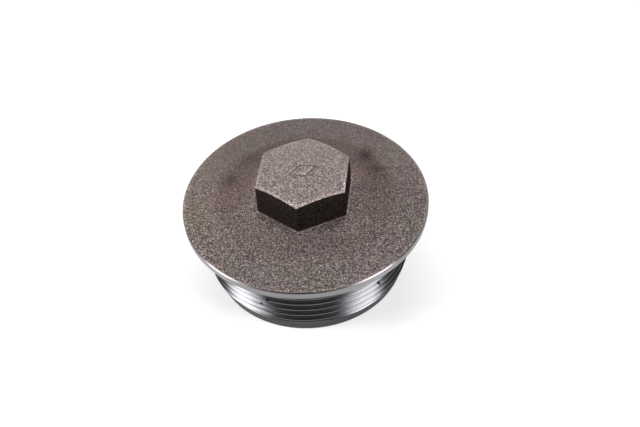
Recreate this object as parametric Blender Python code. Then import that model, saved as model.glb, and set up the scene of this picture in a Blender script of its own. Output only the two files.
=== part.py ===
"""Flanged screw cap for a 2 inch pipe fitting: one threaded casting with a hexagon head, and the flat
sealing ring that sits on its skirt under the flange.

Run it with blender --background --python part.py, or from Blender's text editor. Units are metres and
+Z is up. The origin is the centre of the skirt's open end, which is the face the cap stands on.
"""

import math

import bmesh
import bpy
from mathutils import Matrix

MM = 0.001

# Thread: 2 inch parallel pipe thread, 11 turns to the inch, right-hand, 55 degree flanks.
THREAD_DIAMETER = 59.6 * MM
THREAD_PITCH = 2.309 * MM
THREAD_DEPTH_IN_PITCHES = 0.6405
THREAD_LENGTH = 14.5 * MM
THREAD_FLANK_ANGLE = math.radians(27.5)
THREAD_ROOT_FLAT_IN_PITCHES = 0.18
THREAD_START_ANGLE = math.radians(6.0)

# Skirt: plain pilot nose below the thread, relief groove above it, hollow inside.
NOSE_LENGTH = 3.3 * MM
NOSE_CLEARANCE = 0.13 * MM
NOSE_EDGE_CHAMFER = 0.4 * MM
RELIEF_IN_PITCHES = 1.3
RELIEF_CLEARANCE = 0.2 * MM
BORE_WALL = 4.9 * MM
BORE_DRAFT = math.radians(2.0)
BORE_CORNER_RADIUS = 3.0 * MM
CROWN_THICKNESS = 6.2 * MM

# Flange: machined rim, flat cast land, and a low cone that rises to a pad under the hexagon.
FLANGE_OVERHANG = 5.2 * MM
RIM_THICKNESS = 2.2 * MM
RIM_CHAMFER = 0.25 * MM
LAND_WIDTH = 9.5 * MM
CONE_RISE = 1.05 * MM
PAD_MARGIN = 0.3 * MM

# Hexagon head.
HEX_ACROSS_FLATS = 25.0 * MM
HEX_HEIGHT = 10.5 * MM
HEX_DRAFT = math.radians(1.0)
HEX_CORNER_ANGLE = math.radians(20.5)
HEX_CHAMFER_ANGLE = math.radians(18.0)
HEX_CHAMFER_INSET = 0.25 * MM
HEX_ROOT = 1.5 * MM

# Cast lozenge on the hexagon's top.
MARK_LENGTH = 7.0 * MM
MARK_WIDTH = 4.2 * MM
MARK_RELIEF = 0.35 * MM
MARK_ANGLE = math.radians(20.5)

# Sealing ring.
RING_CLEARANCE = 0.35 * MM
RING_WIDTH = 2.35 * MM
RING_THICKNESS = 1.5 * MM
SEAT_GAP = 0.3 * MM

SEGMENTS = 72
CORNER_SEGMENTS = 5
MERGE_DISTANCE = 1e-6

thread_radius = THREAD_DIAMETER / 2
thread_depth = THREAD_DEPTH_IN_PITCHES * THREAD_PITCH
root_radius = thread_radius - thread_depth
nose_radius = root_radius - NOSE_CLEARANCE
relief_radius = root_radius - RELIEF_CLEARANCE
flange_radius = thread_radius + FLANGE_OVERHANG

nose_top = NOSE_LENGTH
thread_bottom = nose_top + (thread_radius - nose_radius)
thread_top = thread_bottom + THREAD_LENGTH
relief_width = RELIEF_IN_PITCHES * THREAD_PITCH
flange_bottom = thread_top + relief_width
flange_top = flange_bottom + RIM_THICKNESS
land_radius = flange_radius - LAND_WIDTH
hex_corner_radius = HEX_ACROSS_FLATS / 2 / math.cos(math.pi / 6)
hex_top = flange_top + HEX_HEIGHT
bore_ceiling = flange_top - CROWN_THICKNESS


def clear_scene():
    for existing in list(bpy.data.objects):
        bpy.data.objects.remove(existing, do_unlink=True)


def make_material(name, colour, roughness, metallic):
    material = bpy.data.materials.new(name)
    material.use_nodes = True
    shader = material.node_tree.nodes["Principled BSDF"]
    shader.inputs["Base Color"].default_value = (*colour, 1.0)
    shader.inputs["Roughness"].default_value = roughness
    shader.inputs["Metallic"].default_value = metallic
    return material


def link_object(name, mesh_builder):
    """Puts the finished bmesh in a new object with this name."""
    bmesh.ops.recalc_face_normals(mesh_builder, faces=mesh_builder.faces)
    mesh = bpy.data.meshes.new(name)
    mesh_builder.to_mesh(mesh)
    mesh_builder.free()
    obj = bpy.data.objects.new(name, mesh)
    bpy.context.scene.collection.objects.link(obj)
    return obj


def revolve(name, profile, closed):
    """Turns (radius, height) points about Z. An open profile starts and ends on the axis."""
    bm = bmesh.new()
    corners = [bm.verts.new((radius, 0.0, height)) for radius, height in profile]
    edges = [bm.edges.new(pair) for pair in zip(corners, corners[1:])]
    if closed:
        edges.append(bm.edges.new((corners[-1], corners[0])))
    bmesh.ops.spin(
        bm,
        geom=corners + edges,
        cent=(0, 0, 0),
        axis=(0, 0, 1),
        angle=2 * math.pi,
        steps=SEGMENTS,
        use_merge=True,
    )
    bmesh.ops.remove_doubles(bm, verts=bm.verts, dist=MERGE_DISTANCE)
    return link_object(name, bm)


def arc(centre, radius, start, end, steps):
    """Points on an arc in the profile's plane, both ends included."""
    turns = [start + (end - start) * step / steps for step in range(steps + 1)]
    return [
        (centre[0] + radius * math.cos(turn), centre[1] + radius * math.sin(turn))
        for turn in turns
    ]


def boolean(target, tool, operation):
    modifier = target.modifiers.new(f"{operation.lower()}_{tool.name}", "BOOLEAN")
    modifier.operation = operation
    modifier.solver = "EXACT"
    modifier.object = tool
    tool.hide_render = True
    tool.display_type = "WIRE"


def bore_profile():
    """From the mouth's edge up the drafted wall and round the corner to the centre of the ceiling."""
    mouth_radius = nose_radius - BORE_WALL
    corner_height = bore_ceiling - BORE_CORNER_RADIUS
    wall_radius = mouth_radius - corner_height * math.tan(BORE_DRAFT)
    corner_centre = (wall_radius - BORE_CORNER_RADIUS, corner_height)
    corner = arc(corner_centre, BORE_CORNER_RADIUS, 0.0, math.pi / 2, CORNER_SEGMENTS)
    return [(mouth_radius, 0.0), *corner, (0.0, bore_ceiling)]


def casting_profile():
    """From the centre of the flange's top, over the rim and down the skirt, then up inside the bore."""
    outside = [
        (0.0, flange_top + CONE_RISE),
        (hex_corner_radius + PAD_MARGIN, flange_top + CONE_RISE),
        (land_radius, flange_top),
        (flange_radius - RIM_CHAMFER, flange_top),
        (flange_radius, flange_top - RIM_CHAMFER),
        (flange_radius, flange_bottom),
        (relief_radius, flange_bottom),
        (relief_radius, thread_top),
        (thread_radius, thread_top),
        (thread_radius, thread_bottom),
        (nose_radius, nose_top),
        (nose_radius, NOSE_EDGE_CHAMFER),
        (nose_radius - NOSE_EDGE_CHAMFER, 0.0),
    ]
    return outside + bore_profile()


def make_hexagon():
    """A drafted hexagonal prism whose foot is sunk in the flange."""
    foot = flange_top - HEX_ROOT
    height = hex_top - foot
    top_corner_radius = hex_corner_radius - height * math.tan(HEX_DRAFT) / math.cos(math.pi / 6)
    # create_cone puts its first corner on +Y
    turn = Matrix.Rotation(HEX_CORNER_ANGLE - math.pi / 2, 4, "Z")
    bm = bmesh.new()
    bmesh.ops.create_cone(
        bm,
        cap_ends=True,
        segments=6,
        radius1=hex_corner_radius,
        radius2=top_corner_radius,
        depth=height,
        matrix=Matrix.Translation((0, 0, foot + height / 2)) @ turn,
    )
    return link_object("hexagon_stock", bm)


def make_chamfer_cone():
    """The turned shape that takes the hexagon's top corners off."""
    flat_radius = HEX_ACROSS_FLATS / 2 - (HEX_HEIGHT + HEX_ROOT) * math.tan(HEX_DRAFT)
    top_radius = flat_radius - HEX_CHAMFER_INSET
    wide_radius = HEX_ACROSS_FLATS
    fall = (wide_radius - top_radius) * math.tan(HEX_CHAMFER_ANGLE)
    foot = flange_top - 2 * HEX_ROOT
    profile = [
        (0.0, hex_top),
        (top_radius, hex_top),
        (wide_radius, hex_top - fall),
        (wide_radius, foot),
        (0.0, foot),
    ]
    return revolve("hexagon_chamfer", profile, closed=False)


def make_thread_groove():
    """A helical cutter for the space between the crests, open outwards past the crests."""
    beyond = thread_depth / 3
    root_half = THREAD_ROOT_FLAT_IN_PITCHES * THREAD_PITCH / 2
    mouth_half = root_half + (thread_depth + beyond) * math.tan(THREAD_FLANK_ANGLE)
    start = nose_top - mouth_half
    end = thread_top + relief_width / 2
    steps = round((end - start) / THREAD_PITCH * SEGMENTS)
    outer = thread_radius + beyond
    section = [
        (root_radius, start - root_half),
        (outer, start - mouth_half),
        (outer, start + mouth_half),
        (root_radius, start + root_half),
    ]
    bm = bmesh.new()
    corners = [bm.verts.new((radius, 0.0, height)) for radius, height in section]
    first = bm.faces.new(corners)
    swept = bmesh.ops.spin(
        bm,
        geom=list(first.edges) + corners,
        cent=(0, 0, 0),
        axis=(0, 0, 1),
        dvec=(0, 0, THREAD_PITCH / SEGMENTS),
        angle=2 * math.pi * steps / SEGMENTS,
        steps=steps,
        use_merge=False,
    )
    last_edges = [item for item in swept["geom_last"] if isinstance(item, bmesh.types.BMEdge)]
    bmesh.ops.contextual_create(bm, geom=last_edges)
    turn = Matrix.Rotation(THREAD_START_ANGLE, 3, "Z")
    bmesh.ops.rotate(bm, cent=(0, 0, 0), matrix=turn, verts=bm.verts)
    return link_object("thread_groove", bm)


def make_mark():
    """A plain raised lozenge, where a foundry puts its mark."""
    bm = bmesh.new()
    bmesh.ops.create_circle(bm, cap_ends=True, segments=4, radius=1.0)
    bmesh.ops.scale(bm, vec=(MARK_LENGTH / 2, MARK_WIDTH / 2, 1.0), verts=bm.verts)
    raised = bmesh.ops.extrude_face_region(bm, geom=bm.faces[:])
    top = [item for item in raised["geom"] if isinstance(item, bmesh.types.BMVert)]
    bmesh.ops.translate(bm, vec=(0, 0, 2 * MARK_RELIEF), verts=top)
    place = Matrix.Translation((0, 0, hex_top - MARK_RELIEF)) @ Matrix.Rotation(MARK_ANGLE, 4, "Z")
    bmesh.ops.transform(bm, matrix=place, verts=bm.verts)
    return link_object("mark_stock", bm)


def make_cap_body():
    """The casting: turned blank, hexagon joined on, thread cut."""
    hexagon = make_hexagon()
    boolean(hexagon, make_chamfer_cone(), "INTERSECT")
    body = revolve("cap_body", casting_profile(), closed=False)
    boolean(body, hexagon, "UNION")
    boolean(body, make_mark(), "UNION")
    boolean(body, make_thread_groove(), "DIFFERENCE")
    body.data.materials.append(make_material("cast_steel", (0.20, 0.175, 0.16), 0.55, 0.7))
    return body


def make_sealing_ring():
    """The flat washer that is squeezed between the flange and the end of the pipe fitting."""
    inner = thread_radius + RING_CLEARANCE
    outer = inner + RING_WIDTH
    top = flange_bottom - SEAT_GAP
    bottom = top - RING_THICKNESS
    section = [(outer, top), (outer, bottom), (inner, bottom), (inner, top)]
    ring = revolve("sealing_ring", section, closed=True)
    ring.data.materials.append(make_material("seal_rubber", (0.03, 0.03, 0.03), 0.75, 0.0))
    return ring


clear_scene()
cap_body = make_cap_body()
sealing_ring = make_sealing_ring()
for part in (cap_body, sealing_ring):
    part.data.shade_smooth()
    part.data.set_sharp_from_angle(angle=math.radians(30))
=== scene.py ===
# %% [markdown]
# # A flanged screw cap for a 2 inch pipe fitting
# The cap is one steel casting. The foundry leaves the hexagon and the top of the flange with a sandy,
# shot-blasted skin. A lathe then cuts the rim, the thread and the nose to bare metal. This lesson starts from
# the design's own solids, keeps their sizes, and models the two surfaces finely enough to look at closely.

import math

import bmesh
import bpy
from mathutils import Matrix, Vector, noise


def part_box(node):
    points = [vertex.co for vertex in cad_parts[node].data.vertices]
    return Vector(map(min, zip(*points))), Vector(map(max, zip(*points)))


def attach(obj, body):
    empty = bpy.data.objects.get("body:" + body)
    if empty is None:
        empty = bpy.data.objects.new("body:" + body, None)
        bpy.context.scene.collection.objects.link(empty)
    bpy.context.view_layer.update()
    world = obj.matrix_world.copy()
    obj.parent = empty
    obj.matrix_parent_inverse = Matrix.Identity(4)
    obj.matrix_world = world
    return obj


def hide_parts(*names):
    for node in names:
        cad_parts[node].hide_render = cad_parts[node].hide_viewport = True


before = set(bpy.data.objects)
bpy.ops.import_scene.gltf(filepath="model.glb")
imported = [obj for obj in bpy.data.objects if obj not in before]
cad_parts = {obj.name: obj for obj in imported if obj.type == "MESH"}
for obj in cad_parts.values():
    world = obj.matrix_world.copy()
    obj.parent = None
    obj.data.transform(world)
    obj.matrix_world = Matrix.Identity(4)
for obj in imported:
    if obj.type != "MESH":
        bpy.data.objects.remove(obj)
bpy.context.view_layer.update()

# %% [markdown]
# ## Sizes
# The outer sizes come from the design's boxes, so they can't drift from it. The rest are the drawing's own
# sizes, each written once, because a box doesn't hold them. Heights are measured from the face the cap
# stands on.

# %% Sizes
MM = 0.001
cap_high = Vector(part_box("cap_body")[1])
ring_low, ring_high = (Vector(corner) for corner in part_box("sealing_ring"))

THREAD_RADIUS = 29.8 * MM
THREAD_PITCH = 2.309 * MM
THREAD_DEPTH = 1.479 * MM
FLANK_ANGLE = math.radians(27.5)
CREST_FLAT = 0.30 * MM
THREAD_START_ANGLE = math.radians(6.0)
NOSE_TOP = 3.3 * MM
NOSE_RADIUS = THREAD_RADIUS - THREAD_DEPTH - 0.13 * MM
NOSE_CHAMFER = 0.4 * MM
RELIEF_WIDTH = 1.3 * THREAD_PITCH
RELIEF_RADIUS = THREAD_RADIUS - THREAD_DEPTH - 0.2 * MM
BORE_WALL = 4.9 * MM
BORE_DRAFT = math.radians(2.0)
BORE_CORNER = 3.0 * MM
CROWN_THICKNESS = 6.2 * MM

SEAT_GAP = 0.3 * MM
RIM_THICKNESS = 2.2 * MM
RIM_CHAMFER = 0.25 * MM
LAND_WIDTH = 9.5 * MM
CONE_RISE = 1.05 * MM
PAD_MARGIN = 0.3 * MM
HEX_ACROSS_FLATS = 25.0 * MM
HEX_DRAFT = math.radians(1.0)
HEX_CORNER_ANGLE = math.radians(20.5)
HEX_CHAMFER_ANGLE = math.radians(18.0)
HEX_CHAMFER_INSET = 0.25 * MM
MARK_LENGTH = 7.0 * MM
MARK_WIDTH = 4.2 * MM
MARK_RELIEF = 0.35 * MM

flange_radius = cap_high.x
flange_bottom = ring_high.z + SEAT_GAP
flange_top = flange_bottom + RIM_THICKNESS
hex_top = cap_high.z - MARK_RELIEF
thread_top = flange_bottom - RELIEF_WIDTH
thread_bottom = NOSE_TOP + THREAD_RADIUS - NOSE_RADIUS
land_radius = flange_radius - LAND_WIDTH
edge_radius = flange_radius - RIM_CHAMFER
bore_ceiling = flange_top - CROWN_THICKNESS
hex_half = HEX_ACROSS_FLATS / 2
hex_foot_corner = hex_half / math.cos(math.pi / 6)
print(f"flange {flange_radius / MM:.2f} mm in radius, top at {flange_top / MM:.2f} mm")
print(f"hexagon top at {hex_top / MM:.2f} mm")
print(f"thread from {thread_bottom / MM:.2f} to {thread_top / MM:.2f} mm")

# %% [markdown]
# ## Camera
# The cap is seen from above, a little over 45 degrees up, with a normal lens close in, so the flange's
# near edge looks larger than its far edge. A turn about the lens axis of about 4 degrees tips the picture.

# %% Camera
CAMERA_PLACE = Vector((3.9, -175.6, 176.6)) * MM
CAMERA_ELEVATION = math.radians(46.3)
CAMERA_ROLL = math.radians(-3.96)
CAMERA_LENS = 49.14

camera_data = bpy.data.cameras.new("camera")
camera_data.lens = CAMERA_LENS
camera_data.sensor_width = 36.0
camera_data.clip_start = 0.01
camera = bpy.data.objects.new("camera", camera_data)
bpy.context.scene.collection.objects.link(camera)
camera.matrix_world = (
    Matrix.Translation(CAMERA_PLACE + Vector((0, 0, flange_top)))
    @ Matrix.Rotation(math.pi / 2 - CAMERA_ELEVATION, 4, "X")
    @ Matrix.Rotation(CAMERA_ROLL, 4, "Z")
)
bpy.context.scene.camera = camera
print("camera at", camera.location)

# %% [markdown]
# ## Floor and studio light
# Bright metal shows what is around it, not its own colour, so the light is placed by what the thread has to
# mirror: a tall soft box on each side of the cap with a dark gap between them in front. The flange hangs over
# the thread, so a high light doesn't reach it, and a third box above and behind is free to light the top.
# The floor is pale and plain.

# %% Floor, world and lights
FLOOR_SIZE = 12.0
LIGHT_DISTANCE = 0.65


def flat_material(name, colour, roughness, glow):
    material = bpy.data.materials.new(name)
    material.use_nodes = True
    shader = material.node_tree.nodes["Principled BSDF"]
    shader.inputs["Base Color"].default_value = (*colour, 1.0)
    shader.inputs["Roughness"].default_value = roughness
    shader.inputs["Emission Color"].default_value = (1.0, 1.0, 1.0, 1.0)
    shader.inputs["Emission Strength"].default_value = glow
    return material


def new_object(name, bm, materials, smooth=True):
    mesh = bpy.data.meshes.new(name)
    bm.to_mesh(mesh)
    bm.free()
    for material in materials:
        mesh.materials.append(material)
    if smooth:
        mesh.shade_smooth()
    piece = bpy.data.objects.new(name, mesh)
    bpy.context.scene.collection.objects.link(piece)
    print(f"{name}: {len(mesh.vertices)} vertices, {len(mesh.polygons)} faces")
    return piece


def soft_box(name, azimuth, elevation, width, height, brightness):
    """An area light that faces the cap. Its brightness is what a mirror would show of it."""
    data = bpy.data.lights.new(name, "AREA")
    data.shape = "RECTANGLE"
    data.size = width
    data.size_y = height
    data.energy = brightness * math.pi * width * height
    light = bpy.data.objects.new(name, data)
    bpy.context.scene.collection.objects.link(light)
    across = math.cos(math.radians(elevation))
    toward = Vector((
        across * math.cos(math.radians(azimuth)),
        across * math.sin(math.radians(azimuth)),
        math.sin(math.radians(elevation)),
    ))
    turn = (-toward).to_track_quat("-Z", "Y").to_matrix().to_4x4()
    light.matrix_world = Matrix.Translation(toward * LIGHT_DISTANCE + Vector((0, 0, flange_top))) @ turn


floor_bm = bmesh.new()
bmesh.ops.create_grid(floor_bm, x_segments=1, y_segments=1, size=FLOOR_SIZE / 2)
floor = new_object("floor", floor_bm, [flat_material("pale_floor", (0.6, 0.6, 0.6), 0.9, 0.45)], smooth=False)

soft_box("left_box", -168.0, 36.0, 0.25, 0.55, 10.0)
soft_box("right_box", -34.0, 36.0, 0.29, 0.55, 8.0)
soft_box("top_box", 88.0, 56.0, 0.50, 0.36, 4.6)

world = bpy.data.worlds.new("studio")
world.use_nodes = True
world.node_tree.nodes["Background"].inputs["Color"].default_value = (0.9, 0.95, 1.0, 1.0)
world.node_tree.nodes["Background"].inputs["Strength"].default_value = 0.03
bpy.context.scene.world = world
bpy.context.scene.view_settings.view_transform = "Standard"
print("lights:", [light.name for light in bpy.data.lights])

# %% [markdown]
# ## Writing shader maths
# A pattern is easier to read as an expression than as a row of nodes. A small class wraps a socket, and its
# operators add the Math nodes. Any other node comes from one function, which takes its type, its settings and
# its inputs.

# %% A socket that does arithmetic
class Wire:
    def __init__(self, tree, socket):
        self.tree = tree
        self.socket = socket

    def math(self, operation, first, second=0.0):
        return node(self.tree, "ShaderNodeMath", {"operation": operation}, {0: first, 1: second})

    def __add__(self, other):
        return self.math("ADD", self, other)

    def __sub__(self, other):
        return self.math("SUBTRACT", self, other)

    def __rsub__(self, other):
        return self.math("SUBTRACT", other, self)

    def __mul__(self, other):
        return self.math("MULTIPLY", self, other)

    def __pow__(self, other):
        return self.math("POWER", self, other)

    __radd__ = __add__
    __rmul__ = __mul__

    def __abs__(self):
        return self.math("ABSOLUTE", self)


def node(tree, kind, settings=None, inputs=None, output=0):
    """Adds one node: settings first, then a value or a wire for each named or numbered input."""
    made = tree.nodes.new(kind)
    for name, value in (settings or {}).items():
        setattr(made, name, value)
    for name, value in (inputs or {}).items():
        if isinstance(value, Wire):
            tree.links.new(value.socket, made.inputs[name])
        else:
            made.inputs[name].default_value = value
    return Wire(tree, made.outputs[output])


class Finish:
    """A material being written: its coordinates, its shader, and shorthands for what is used most."""

    def __init__(self, name):
        self.material = bpy.data.materials.new(name)
        self.material.use_nodes = True
        self.tree = self.material.node_tree
        self.shader = self.tree.nodes["Principled BSDF"]
        self.place = self.node("ShaderNodeTexCoord", output="Object")
        self.x, self.y, self.z = (self.part(letter, self.place) for letter in "xyz")

    def node(self, kind, settings=None, inputs=None, output=0):
        return node(self.tree, kind, settings, inputs, output)

    def noise(self, size, detail=2.0, roughness=0.5, at=None):
        """Noise whose features are about this many metres across, from 0 to 1."""
        values = {"Vector": at or self.place, "Scale": 1.0 / size, "Detail": detail, "Roughness": roughness}
        return self.node("ShaderNodeTexNoise", None, values)

    def step(self, value, low, high):
        """0 below low, 1 above high, smooth between."""
        values = {"Value": value, "From Min": low, "From Max": high}
        return self.node("ShaderNodeMapRange", {"interpolation_type": "SMOOTHSTEP"}, values)

    def part(self, letter, vector):
        """The x, y or z of a vector."""
        return self.node("ShaderNodeSeparateXYZ", None, {0: vector}, output="xyz".index(letter))

    def radius(self):
        """Distance from the thread's axis."""
        return (self.x * self.x + self.y * self.y) ** 0.5

    def shaded(self, colour, shade):
        """A colour made darker or paler by a number."""
        return self.node("ShaderNodeVectorMath", {"operation": "SCALE"}, {0: colour, "Scale": shade})

    def mix(self, factor, first, second, blend="MIX"):
        """The first colour at 0 and the second at 1, or the blend of the two."""
        values = {"Factor": factor, 6: colour4(first), 7: colour4(second)}
        return self.node("ShaderNodeMix", {"data_type": "RGBA", "blend_type": blend}, values, output=2)

    def bump(self, height, distance, strength):
        """A normal tilted by a pattern this many metres high."""
        values = {"Height": height, "Distance": distance, "Strength": strength}
        return self.node("ShaderNodeBump", None, values)

    def set(self, **values):
        """Sets or wires the shader's sockets, with a space for each underscore."""
        for name, value in values.items():
            socket = self.shader.inputs[name.replace("_", " ")]
            if isinstance(value, Wire):
                self.tree.links.new(value.socket, socket)
            else:
                socket.default_value = colour4(value)
        return self.material


def colour4(value):
    """A plain colour gets its fourth number; wires and single numbers pass through."""
    return (*value, 1.0) if isinstance(value, tuple) and len(value) == 3 else value


print("shader helpers ready")

# %% [markdown]
# ## Cast skin
# Sand casting leaves a skin of small rounded grains, and shot-blasting peens it and wears the tops of the
# grains bright while the hollows stay brown-grey with oxide. So the grain is one pattern, of a coarse and a
# fine noise, and it is used three times: for the bump, for the colour and for the roughness. A picture that
# is wrapped on the part would blur close up and show a seam. Noise in the part's own coordinates does neither.
#
# Painted highlights make the hexagon's top edges (strongest at the front), its foot and the flange's edge
# paler.
# A painted shadow lies round the foot of the raised mark, with a painted highlight on its upper edge. Painted
# light lifts the skin near the hexagon, and painted shade darkens it toward the back. Each is a band set by a
# distance: from the axis, from the flats, from the lozenge's outline or along y. The hexagon's upright sides
# get painted shade in place of the lit skin colour, darkest on the side that faces +X.
# The stains and the greenish patches are ragged blots at chosen places, and clouds of noise fray them.

# %% Sand grain
GRAIN_SIZE = 0.47 * MM
FINE_GRAIN_SIZE = 0.26 * MM
HOLLOW = (0.040, 0.030, 0.027)
WORN_BROWN = (0.310, 0.248, 0.238)
WORN_GREY = (0.300, 0.250, 0.238)
GLINT = (0.62, 0.58, 0.56)
OLIVE = (0.140, 0.130, 0.085)


def grain_tops(skin, grain, fine, painted_flat_light):
    """1 on the worn tops of the grains and 0 in the hollows, painted flatter toward the back and a little on
    the hexagon's top.
    """
    tops = skin.step(grain * 0.65 + fine * 0.35, 0.40, 0.66)
    return tops + (0.5 - tops) * painted_flat_light


def grain_colour(skin, grain, fine, tops, painted_flat_light, clouds):
    """Dark hollows, worn tops, a few painted glints of highlight, fewer toward the back, and a trace of olive
    in clouds.
    """
    drift = skin.noise(16.0 * MM, detail=2.0)
    worn = skin.mix(skin.step(drift, 0.4, 0.62), WORN_BROWN, WORN_GREY)
    # Painted highlights: bright glints on the grain's tops.
    glints = skin.step(fine * 0.6 + grain * 0.4, 0.63, 0.70) * (1.0 - painted_flat_light)
    colour = skin.mix(glints, skin.mix(tops, HOLLOW, worn), GLINT)
    return skin.mix(skin.step(clouds, 0.58, 0.75) * 0.25, colour, OLIVE)


print(f"grain {GRAIN_SIZE / MM:.2f} mm and {FINE_GRAIN_SIZE / MM:.2f} mm")


# %% Wear, painted highlights and painted shade that follow the shape
def past_the_flats(skin):
    """How far out a point is past the nearest of the hexagon's flats, which is negative inside."""
    most = None
    for turn in range(3):
        angle = HEX_CORNER_ANGLE + math.pi / 6 + turn * math.pi / 3
        reach = abs(skin.x * math.cos(angle) + skin.y * math.sin(angle))
        most = reach if most is None else most.math("MAXIMUM", most, reach)
    return most - hex_half


def lozenge_share(skin):
    """0 in the middle of the raised lozenge and 1 on its outline."""
    cosine, sine = math.cos(HEX_CORNER_ANGLE), math.sin(HEX_CORNER_ANGLE)
    along = abs(skin.x * cosine + skin.y * sine)
    across = abs(skin.y * cosine - skin.x * sine)
    return along * (2 / MARK_LENGTH) + across * (2 / MARK_WIDTH)


def hexagon_wear_and_highlights(skin, top):
    """A slightly paler top, painted highlights along the top's edges, strongest at the front, and a painted
    highlight round the foot.
    """
    past = past_the_flats(skin)
    front = 1.0 - skin.step(skin.y, -7.0 * MM, 1.0 * MM)
    # Painted highlight on the chamfer's edges, stronger at the front, and a thin painted highlight round the
    # foot.
    edge_highlight = top * skin.step(past, -1.3 * MM, -0.5 * MM) * (0.5 + front)
    foot_highlight = skin.step(past, 0.0, 0.1 * MM) * (1.0 - skin.step(past, 0.35 * MM, 0.7 * MM))
    return top * 0.18 + edge_highlight * 0.72 + foot_highlight * 0.90


def mark_shadow_and_highlight(skin, top):
    """A painted shadow lies round the foot of the raised mark, and a painted highlight along its upper edge.
    """
    share = lozenge_share(skin)
    # Painted shadow round the foot of the mark, and a painted highlight on its upper edge.
    foot = skin.step(share, 0.94, 1.02) * (1.0 - skin.step(share, 1.18, 1.34))
    edge_highlight = skin.step(share, 0.62, 0.72) * (1.0 - skin.step(share, 0.86, 0.94))
    return top * (edge_highlight * 0.7 - foot * 0.8)


def flange_wear_and_painted_light(skin, radius, top):
    """A slightly paler outer land, painted light near and on the hexagon, a painted highlight at the flange's
    edge, and painted shade toward the back.
    """
    land = skin.step(radius, land_radius - 1.5 * MM, land_radius + 1.0 * MM)
    # Painted light near and on the hexagon, which lifts the shade round its foot.
    painted_light_near_hexagon = 1.0 - skin.step(radius, hex_foot_corner, land_radius - 4.0 * MM)
    # Painted highlight along the flange's rounded edge.
    brink_highlight = skin.step(radius, edge_radius - 0.9 * MM, edge_radius - 0.3 * MM)
    # Painted shade: darker toward the back.
    back = skin.step(skin.y, 10.0 * MM, 24.0 * MM) * (1.0 - top)
    return land * 0.08 + painted_light_near_hexagon * 0.44 + brink_highlight * 0.35 - back * 0.13


print("wear follows the flats, the mark and the flange")

# %% Stains and patina, each with its place and size in millimetres and its depth
STAINS = (
    ((18.8, 15.9), 5.0, 0.55),
    ((21.5, 9.5), 4.6, 0.45),
    ((16.5, 2.0), 4.0, 0.35),
    ((-21.6, 8.8), 4.0, 0.50),
    ((-16.0, 17.0), 5.0, 0.20),
    ((5.5, -19.0), 5.0, 0.20),
)
PATINA = (
    ((3.9, -6.2), 4.5, 0.9),
    ((-16.5, 27.0), 6.0, 1.0),
    ((2.1, -31.5), 5.0, 0.8),
    ((25.5, 16.0), 7.0, 0.8),
    ((-31.0, -4.0), 9.0, 0.9),
    ((29.0, -13.0), 6.0, 0.6),
)
BLOT_FRAY = 5.0 * MM
GREENISH = (1.0, 1.04, 0.89)
PURPLISH = (0.95, 0.84, 0.82)
PALER = (1.18, 1.15, 1.08)


def blot(skin, place, size, clouds):
    """1 in the middle of a ragged patch at this place in millimetres, and 0 outside it."""
    x, y = place
    reach = ((skin.x - x * MM) ** 2.0 + (skin.y - y * MM) ** 2.0) ** 0.5
    return 1.0 - skin.step(reach + (clouds - 0.5) * BLOT_FRAY, 0.0, size * MM)


def tinted(skin, colour, radius, clouds):
    """The broad changes of hue: a purplish band round the hexagon, a paler side, and the patina."""
    band = skin.step(radius, 13.0 * MM, 18.0 * MM) * (1.0 - skin.step(radius, 24.0 * MM, 29.0 * MM))
    band = band * (0.35 + skin.step(skin.y, -14.0 * MM, 4.0 * MM) * 0.65)
    colour = skin.mix(band, colour, PURPLISH, "MULTIPLY")
    pale = skin.step(0.0 - skin.x, 17.0 * MM, 31.0 * MM) * 0.8
    colour = skin.mix(pale, colour, PALER, "MULTIPLY")
    for place, size, depth in PATINA:
        colour = skin.mix(blot(skin, place, size, clouds) * depth, colour, GREENISH, "MULTIPLY")
    return colour


print(len(STAINS), "stains and", len(PATINA), "patches of patina")

# %% Cast skin material
# Painted shade for upright faces: a dark and a pale grain tone, and a deeper factor for the side facing +X.
SHADED_SIDE_DARK = (0.006, 0.005, 0.004)
SHADED_SIDE_PALE = (0.080, 0.062, 0.052)
DEEPER_SIDE_SHADE = (0.12, 0.12, 0.12)


def side_painted_shade(skin, tops, normal):
    """Painted shade on the hexagon's upright sides, with the grain's tones, darkest on the side that faces +X.
    """
    shaded_side = skin.step(skin.part("x", normal), 0.3, 0.75)
    return skin.mix(shaded_side, skin.mix(tops, SHADED_SIDE_DARK, SHADED_SIDE_PALE), DEEPER_SIDE_SHADE, "MULTIPLY")


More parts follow.
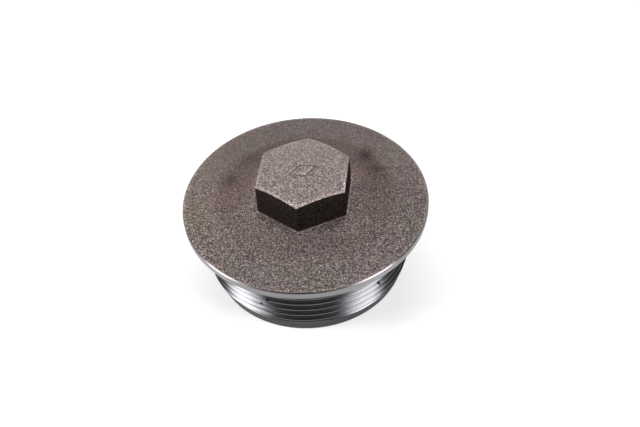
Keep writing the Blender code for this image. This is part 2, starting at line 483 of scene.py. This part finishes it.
def cast_skin():
    skin = Finish("cast_skin")
    grain = skin.noise(GRAIN_SIZE, detail=2.0, roughness=0.65)
    fine = skin.noise(FINE_GRAIN_SIZE, detail=1.0)
    clouds = skin.noise(7.0 * MM, detail=3.0, roughness=0.6)
    radius = skin.radius()
    top = skin.step(skin.z, hex_top - 1.6 * MM, hex_top - 0.6 * MM)
    # Painted light: the grain's contrast is flattened toward the back, where light from behind shows it less,
    # and a little on the hexagon's top.
    painted_flat_light = skin.step(skin.y, -12.0 * MM, 24.0 * MM) * 0.5 + top * 0.15
    tops = grain_tops(skin, grain, fine, painted_flat_light)

    # shade gathers the stains and the slightly paler top and land together with the painted highlights and
    # painted shade.
    shade = 0.92 + flange_wear_and_painted_light(skin, radius, top) + hexagon_wear_and_highlights(skin, top) + mark_shadow_and_highlight(skin, top)
    for place, size, depth in STAINS:
        shade = shade - blot(skin, place, size, clouds) * (1.0 - top) * depth
    colour = skin.shaded(grain_colour(skin, grain, fine, tops, painted_flat_light, clouds), shade)
    colour = tinted(skin, colour, radius, clouds)

    # Upright faces take the painted side shade in place of the skin's colour.
    normal = skin.node("ShaderNodeNewGeometry", output="True Normal")
    upward = skin.step(skin.part("z", normal), 0.25, 0.7)
    return skin.set(
        Base_Color=skin.mix(upward, side_painted_shade(skin, tops, normal), colour),
        Metallic=1.0 - upward * 0.4,
        Roughness=0.58 - tops * upward * 0.24,
        Normal=skin.bump(grain * 0.7 + fine * 0.3, 0.42 * MM, 1.0),
    )


cast_material = cast_skin()
print("made", cast_material.name)

# %% [markdown]
# ## Turned steel
# The rim and the thread are cut on a lathe and left bright. The tool leaves fine rings round the axis, so the
# pattern is stretched noise that changes with height much faster than round the part. Rings that fine spread
# a reflection across themselves, up and down the thread, and keep it sharp along themselves. The shader's
# anisotropic reflection does that without needing a mesh of such rings. A quarter turn of it points the
# spread along the axis.
#
# The nose is painted darker grey, a painted shade for the shaded floor it mirrors near its foot. The relief
# groove and the seat under the flange are painted nearly black, a painted shade for the shade under the
# flange. A few casting pores show where the cut opened them.

# %% Pores that the cut opened, each with its azimuth and height on the thread and its size in millimetres
PORES = (
    ((-130.0, 9.5), 0.50),
    ((-118.0, 10.5), 0.45),
    ((-140.0, 5.0), 0.50),
    ((-114.0, 13.0), 0.35),
    ((-50.0, 11.5), 0.40),
    ((52.0, 14.0), 0.45),
    ((137.0, 8.0), 0.40),
)


def pore(steel, azimuth, height, size):
    """1 in a small round hole at this azimuth and height on the thread, and 0 outside it."""
    outward = (steel.radius() ** -1.0) * THREAD_RADIUS
    across = (steel.x * outward - THREAD_RADIUS * math.cos(azimuth)) ** 2.0
    along = (steel.y * outward - THREAD_RADIUS * math.sin(azimuth)) ** 2.0
    reach = (across + along + (steel.z - height) ** 2.0) ** 0.5
    return 1.0 - steel.step(reach, size * 0.7, size * 1.3)


print(len(PORES), "pores")

# %% Turned steel material
TURNED_DARK = (0.185, 0.18, 0.19)
TURNED_PALE = (0.23, 0.225, 0.235)
# Painted shade: the darker grey of the nose and the near black of the seat under the flange.
SHADED_NOSE_GREY = (0.080, 0.074, 0.081)
SHADED_SEAT = (0.020, 0.018, 0.020)
RIM_GREY = (0.265, 0.255, 0.26)
PORE_BLACK = (0.02, 0.018, 0.018)


def turned_steel():
    steel = Finish("turned_steel")
    squeezed = {"Vector": steel.place, "Scale": (0.06, 0.06, 1.0)}
    rings_place = steel.node("ShaderNodeMapping", {"vector_type": "POINT"}, squeezed)
    rings = steel.noise(0.12 * MM, detail=2.0, at=rings_place)
    smudge = steel.noise(6.0 * MM, detail=3.0)

    nose = 1.0 - steel.step(steel.z, NOSE_TOP - 0.1 * MM, NOSE_TOP + 0.1 * MM)
    above_thread = steel.step(steel.z, thread_top + 0.2 * MM, thread_top + 0.4 * MM)
    below_rim = 1.0 - steel.step(steel.z, flange_bottom + 0.03 * MM, flange_bottom + 0.08 * MM)
    rim = steel.step(steel.z, flange_bottom + 0.08 * MM, flange_bottom + 0.12 * MM)

    colour = steel.mix(smudge, TURNED_DARK, TURNED_PALE)
    # Painted shade on the nose, and below it on the groove and the seat under the flange.
    colour = steel.mix(nose, colour, SHADED_NOSE_GREY)
    colour = steel.mix(above_thread * below_rim, colour, SHADED_SEAT)
    colour = steel.mix(rim, colour, RIM_GREY)
    for (azimuth, height), size in PORES:
        hole = pore(steel, math.radians(azimuth), height * MM, size * MM)
        colour = steel.mix(hole, colour, PORE_BLACK)
    return steel.set(
        Base_Color=colour,
        Metallic=1.0,
        Roughness=0.27 + rings * 0.10,
        Normal=steel.bump(rings, 0.01 * MM, 0.4),
        Anisotropic=0.9,
        Anisotropic_Rotation=0.25,
    )


turned_material = turned_steel()
print("made", turned_material.name)

# %% [markdown]
# ## The cast head
# The hexagon, its chamfer, the low cone, the flat land and the rim could be five shapes joined by Booleans,
# but the joins would leave no even mesh for a rough skin. Here one fine profile is spun round the axis and
# the rings of the hexagon are then pushed out to its flats, so the skin is a single even sheet.

# %% The profile of the head, and where the hexagon's flats are
HEAD_STEPS = 540
TOP_RINGS = 36
CHAMFER_RINGS = 6
SIDE_RINGS = 20
SKIN_RINGS = 62
CHAMFER_BAND = 1.0 * MM
SHOULDER_DROP = 0.4 * MM
SMALL = 1e-7

pad_height = flange_top + CONE_RISE
pad_radius = hex_foot_corner + PAD_MARGIN


def flat_distance(height):
    """How far a flat is from the axis at this height, with the casting's draft."""
    return hex_half - (height - flange_top + 1.5 * MM) * math.tan(HEX_DRAFT)


top_radius = flat_distance(hex_top) - HEX_CHAMFER_INSET
chamfer_end = top_radius + CHAMFER_BAND
side_radius = chamfer_end + 0.1 * MM
side_top = hex_top - 0.6 * MM


def hexagon_radius(angle, flat):
    """The radius of a hexagon with this distance to its flats, in this direction."""
    part = (angle - HEX_CORNER_ANGLE) % (math.pi / 3) - math.pi / 6
    return flat / math.cos(part)


def spread(start, end, count):
    """Evenly spaced values after start, up to and with end."""
    return [start + (end - start) * step / count for step in range(1, count + 1)]


def cone_height(radius):
    """The flange's upper surface: the pad, the low cone and the land."""
    if radius <= pad_radius:
        return pad_height
    if radius >= land_radius:
        return flange_top
    return flange_top + CONE_RISE * (land_radius - radius) / (land_radius - pad_radius)


top_run = [(0.0, hex_top)] + [(r, hex_top) for r in spread(0.0, top_radius, TOP_RINGS)]
chamfer_run = [(r, hex_top) for r in spread(top_radius, chamfer_end, CHAMFER_RINGS)]
side_run = [(side_radius, z) for z in spread(side_top, pad_height, SIDE_RINGS)]
skin_run = [(r, cone_height(r)) for r in spread(pad_radius, edge_radius, SKIN_RINGS)]
rim_run = [
    (flange_radius, flange_top - RIM_CHAMFER),
    (flange_radius, flange_bottom + RIM_CHAMFER / 2),
    (flange_radius - RIM_CHAMFER / 2, flange_bottom),
    (0.0, flange_bottom),
]
print(f"hexagon corner {hex_foot_corner / MM:.2f} mm, top circle {top_radius / MM:.2f} mm")


# %% Spin the profile, then push the rings out to the hexagon
def spun(points, steps):
    """Spins a profile of (radius, height) points a full turn about Z."""
    bm = bmesh.new()
    corners = [bm.verts.new((radius, 0.0, height)) for radius, height in points]
    edges = [bm.edges.new(pair) for pair in zip(corners, corners[1:])]
    bmesh.ops.spin(
        bm,
        geom=corners + edges,
        cent=(0, 0, 0),
        axis=(0, 0, 1),
        angle=2 * math.pi,
        steps=steps,
        use_merge=True,
    )
    bmesh.ops.remove_doubles(bm, verts=bm.verts, dist=1e-7)
    return bm


def smooth_step(value, low, high):
    part = min(max((value - low) / (high - low), 0.0), 1.0)
    return part * part * (3 - 2 * part)


def head_point(point):
    """Where a point of the spun head goes once the hexagon has its flats."""
    radius = math.hypot(point.x, point.y)
    angle = math.atan2(point.y, point.x)
    height = point.z
    fall = math.tan(HEX_CHAMFER_ANGLE)
    shoulder = hexagon_radius(angle, flat_distance(hex_top - SHOULDER_DROP))
    shoulder_height = hex_top - (shoulder - top_radius) * fall
    on_rim = height < flange_top + SMALL and radius > edge_radius - SMALL
    if radius <= top_radius + SMALL or on_rim:
        return point
    if height > hex_top - 1e-6:
        share = (radius - top_radius) / (chamfer_end - top_radius)
        radius = top_radius + (shoulder - top_radius) * share
        height = hex_top - (radius - top_radius) * fall
    elif radius < side_radius + SMALL and height >= pad_height - SMALL:
        share = (side_top - height) / (side_top - pad_height)
        height = shoulder_height + (pad_height - shoulder_height) * share
        radius = hexagon_radius(angle, flat_distance(height))
    else:
        foot = hexagon_radius(angle, flat_distance(pad_height))
        share = (radius - pad_radius) / (edge_radius - pad_radius)
        inner = foot + (pad_radius - foot) * smooth_step(share, 0.0, 0.12)
        radius = inner + (edge_radius - inner) * share
        height = cone_height(radius)
    return Vector((radius * math.cos(angle), radius * math.sin(angle), height))


def lozenge_rise(point):
    """A plain raised lozenge stands where a foundry puts its mark."""
    along = point.x * math.cos(HEX_CORNER_ANGLE) + point.y * math.sin(HEX_CORNER_ANGLE)
    across = point.y * math.cos(HEX_CORNER_ANGLE) - point.x * math.sin(HEX_CORNER_ANGLE)
    reach = abs(along) * 2 / MARK_LENGTH + abs(across) * 2 / MARK_WIDTH
    return MARK_RELIEF * (1 - smooth_step(reach, 0.78, 1.02))


head_bm = spun(top_run + chamfer_run + side_run + skin_run + rim_run, HEAD_STEPS)
to_corner = Matrix.Rotation(HEX_CORNER_ANGLE, 3, "Z")
bmesh.ops.rotate(head_bm, cent=(0, 0, 0), matrix=to_corner, verts=head_bm.verts)
for vert in head_bm.verts:
    vert.co = head_point(vert.co)
    if vert.co.z > hex_top - 1e-6:
        vert.co.z += lozenge_rise(vert.co)
bmesh.ops.recalc_face_normals(head_bm, faces=head_bm.faces)
head_bm.normal_update()
print("head:", len(head_bm.verts), "vertices")

# %% [markdown]
# ## Real roughness in the mesh
# Bump only tilts the light, so an outline stays too clean. The larger waves of the sand skin are pushed into
# the mesh along its normals, and the machined rim and underside are left true.

# %% Push the sand skin into the mesh
SKIN_DEPTH = 0.05 * MM


def skin_offset(place):
    waves = noise.noise(place / (1.1 * MM)) * 0.6 + noise.noise(place / (3.5 * MM)) * 0.8
    return SKIN_DEPTH * waves


for vert in head_bm.verts:
    radius = math.hypot(vert.co.x, vert.co.y)
    fade = 1 - smooth_step(radius, edge_radius - 0.6 * MM, edge_radius)
    if vert.co.z >= flange_top - 1e-6 and fade > 0:
        inward = 0.0 if vert.co.z < hex_top - 1e-6 else SKIN_DEPTH
        vert.co += vert.normal * (skin_offset(vert.co) * fade) - Vector((0, 0, inward))
for face in head_bm.faces:
    middle = face.calc_center_median()
    machined = math.hypot(middle.x, middle.y) > edge_radius or middle.z < flange_top - 0.1 * MM
    face.material_index = 1 if machined else 0
cast_head = new_object("cast_head", head_bm, [cast_material, turned_material])
cast_head.data.set_sharp_from_angle(angle=math.radians(38))
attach(cast_head, "cap")
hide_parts("cap_body")

# %% [markdown]
# ## The threaded skirt
# A real thread is one helix. The profile of one pitch is spun a full turn with a small rise at each step, so
# its end lands one pitch above its start. Copies of that turn, each a pitch higher, then meet edge to edge,
# and merging the doubles makes one continuous surface. Spinning all the turns at once gives the same mesh,
# but takes far longer. Then the radius of each point is held to what the blank allowed, which gives the
# chamfer, the nose and the relief.

# %% Spin the thread
THREAD_STEPS = 360
FLANK_POINTS = 4
ROUND = 0.09 * MM


def thread_profile():
    """One pitch of thread, from the middle of a root to the middle of the next, as (radius, height)."""
    root_radius = THREAD_RADIUS - THREAD_DEPTH
    flank = THREAD_DEPTH * math.tan(FLANK_ANGLE)
    crest_half = CREST_FLAT / 2
    root_half = THREAD_PITCH / 2 - crest_half - flank
    side = [(root_radius, 0.0), (root_radius + 0.02 * MM, root_half * 0.75)]
    for part in spread(0.06, 0.94, FLANK_POINTS):
        side.append((root_radius + THREAD_DEPTH * part, root_half + flank * part))
    side.append((THREAD_RADIUS - 0.01 * MM, root_half + flank + ROUND * 0.4))
    side.append((THREAD_RADIUS, THREAD_PITCH / 2))
    mirrored = [(radius, THREAD_PITCH - height) for radius, height in reversed(side[:-1])]
    return side + mirrored


def blank_radius(height):
    """The radius of the turned blank before the thread was cut."""
    if height <= NOSE_TOP:
        return NOSE_RADIUS
    if height <= thread_bottom:
        return NOSE_RADIUS + height - NOSE_TOP
    return THREAD_RADIUS if height <= thread_top else RELIEF_RADIUS


helix_start = NOSE_TOP - 2 * THREAD_PITCH
helix_turns = math.ceil((flange_bottom - helix_start) / THREAD_PITCH) + 1
thread_bm = bmesh.new()
turn_points = [thread_bm.verts.new((r, 0.0, helix_start + z)) for r, z in thread_profile()]
turn_edges = [thread_bm.edges.new(pair) for pair in zip(turn_points, turn_points[1:])]
bmesh.ops.spin(
    thread_bm,
    geom=turn_points + turn_edges,
    cent=(0, 0, 0),
    axis=(0, 0, 1),
    dvec=(0, 0, THREAD_PITCH / THREAD_STEPS),
    angle=2 * math.pi,
    steps=THREAD_STEPS,
    use_merge=False,
)
one_turn = thread_bm.verts[:] + thread_bm.edges[:] + thread_bm.faces[:]
for copy in range(1, helix_turns):
    next_turn = bmesh.ops.duplicate(thread_bm, geom=one_turn)["geom"]
    raised = [item for item in next_turn if isinstance(item, bmesh.types.BMVert)]
    bmesh.ops.translate(thread_bm, vec=(0, 0, THREAD_PITCH * copy), verts=raised)
bmesh.ops.remove_doubles(thread_bm, verts=thread_bm.verts, dist=1e-6)
turn = Matrix.Rotation(THREAD_START_ANGLE, 3, "Z")
bmesh.ops.rotate(thread_bm, cent=(0, 0, 0), matrix=turn, verts=thread_bm.verts)


def cut(bm, height, keep=None):
    """Cuts at this height. keep is 'above' or 'below', or None to keep both sides."""
    bmesh.ops.bisect_plane(
        bm,
        geom=bm.verts[:] + bm.edges[:] + bm.faces[:],
        dist=1e-7,
        plane_co=(0, 0, height),
        plane_no=(0, 0, 1),
        clear_inner=keep == "above",
        clear_outer=keep == "below",
    )


nose_cut = NOSE_TOP - 0.3 * MM
relief_cut = flange_bottom - 0.5 * MM
cut(thread_bm, nose_cut, keep="above")
cut(thread_bm, relief_cut, keep="below")
for height in (NOSE_TOP, thread_bottom, thread_top):
    cut(thread_bm, height)
for vert in thread_bm.verts:
    radius = math.hypot(vert.co.x, vert.co.y)
    held = min(radius, blank_radius(vert.co.z)) / radius
    vert.co.x *= held
    vert.co.y *= held
print("thread:", len(thread_bm.verts), "vertices,", helix_turns, "turns spun")


# %% Draw the nose, the hollow and the hidden top from the thread's two ends
def end_edges(bm, height):
    """The open edges at this height."""
    return [
        edge
        for edge in bm.edges
        if edge.is_boundary and all(abs(vert.co.z - height) < 1e-6 for vert in edge.verts)
    ]


def draw_on(bm, edges, radius, height):
    """Extrudes a round open end to a new radius and height, and returns the new end's edges."""
    made = bmesh.ops.extrude_edge_only(bm, edges=edges)["geom"]
    for vert in (item for item in made if isinstance(item, bmesh.types.BMVert)):
        now = math.hypot(vert.co.x, vert.co.y)
        vert.co = (vert.co.x * radius / now, vert.co.y * radius / now, height)
    return [item for item in made if isinstance(item, bmesh.types.BMEdge)]


mouth_radius = NOSE_RADIUS - BORE_WALL
corner_height = bore_ceiling - BORE_CORNER
wall_radius = mouth_radius - corner_height * math.tan(BORE_DRAFT)
below = [
    (NOSE_RADIUS, NOSE_CHAMFER),
    (NOSE_RADIUS - NOSE_CHAMFER, 0.0),
    (mouth_radius + 0.5 * MM, 0.0),
    (mouth_radius, 0.5 * MM),
]
for height in spread(0.5 * MM, corner_height, 14):
    below.append((mouth_radius + (wall_radius - mouth_radius) * height / corner_height, height))
for step in range(1, 7):
    bend = math.pi / 2 * step / 6
    below.append((
        wall_radius - BORE_CORNER * (1 - math.cos(bend)),
        corner_height + BORE_CORNER * math.sin(bend),
    ))
below += [(r, bore_ceiling) for r in spread(wall_radius - BORE_CORNER, 0.5 * MM, 16)]

edges = end_edges(thread_bm, nose_cut)
for radius, height in below:
    edges = draw_on(thread_bm, edges, radius, height)
bmesh.ops.contextual_create(thread_bm, geom=edges)
edges = draw_on(thread_bm, end_edges(thread_bm, relief_cut), RELIEF_RADIUS, flange_bottom + 0.5 * MM)
bmesh.ops.contextual_create(thread_bm, geom=edges)
bmesh.ops.recalc_face_normals(thread_bm, faces=thread_bm.faces)
for face in thread_bm.faces:
    middle = face.calc_center_median()
    in_bore = math.hypot(middle.x, middle.y) < mouth_radius and middle.z < flange_bottom
    face.material_index = 1 if in_bore else 0
threaded_skirt = new_object("threaded_skirt", thread_bm, [turned_material, cast_material])
threaded_skirt.data.set_sharp_from_angle(angle=math.radians(30))
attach(threaded_skirt, "cap")
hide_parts("cap_body")

# %% [markdown]
# ## The sealing ring
# The ring is a flat washer cut from moulded rubber sheet. Its edges are slightly rounded, and its skin is
# matt with fine specks. It is spun from a closed section, and a bevel rounds its four edges.

# %% Sealing ring
def seal_rubber():
    rubber = Finish("seal_rubber")
    specks = rubber.noise(0.35 * MM, detail=2.0)
    clouds = rubber.noise(5.0 * MM)
    return rubber.set(
        Base_Color=rubber.mix(clouds, (0.018, 0.018, 0.019), (0.04, 0.04, 0.041)),
        Roughness=0.6 + specks * 0.25,
        Normal=rubber.bump(specks, 0.03 * MM, 0.5),
    )


RING_INNER = THREAD_RADIUS + 0.35 * MM
ring_outer = ring_high.x
ring_bm = spun(
    [
        (ring_outer, ring_high.z),
        (ring_outer, ring_low.z),
        (RING_INNER, ring_low.z),
        (RING_INNER, ring_high.z),
        (ring_outer, ring_high.z),
    ],
    240,
)
corner_edges = [edge for edge in ring_bm.edges if edge.calc_face_angle(0.0) > math.radians(60)]
bmesh.ops.bevel(
    ring_bm,
    geom=corner_edges,
    offset=0.2 * MM,
    offset_type="OFFSET",
    segments=3,
    profile=0.5,
    affect="EDGES",
    material=-1,
)
bmesh.ops.recalc_face_normals(ring_bm, faces=ring_bm.faces)
sealing_ring = new_object("rubber_ring", ring_bm, [seal_rubber()])
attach(sealing_ring, "seal")
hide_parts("sealing_ring")
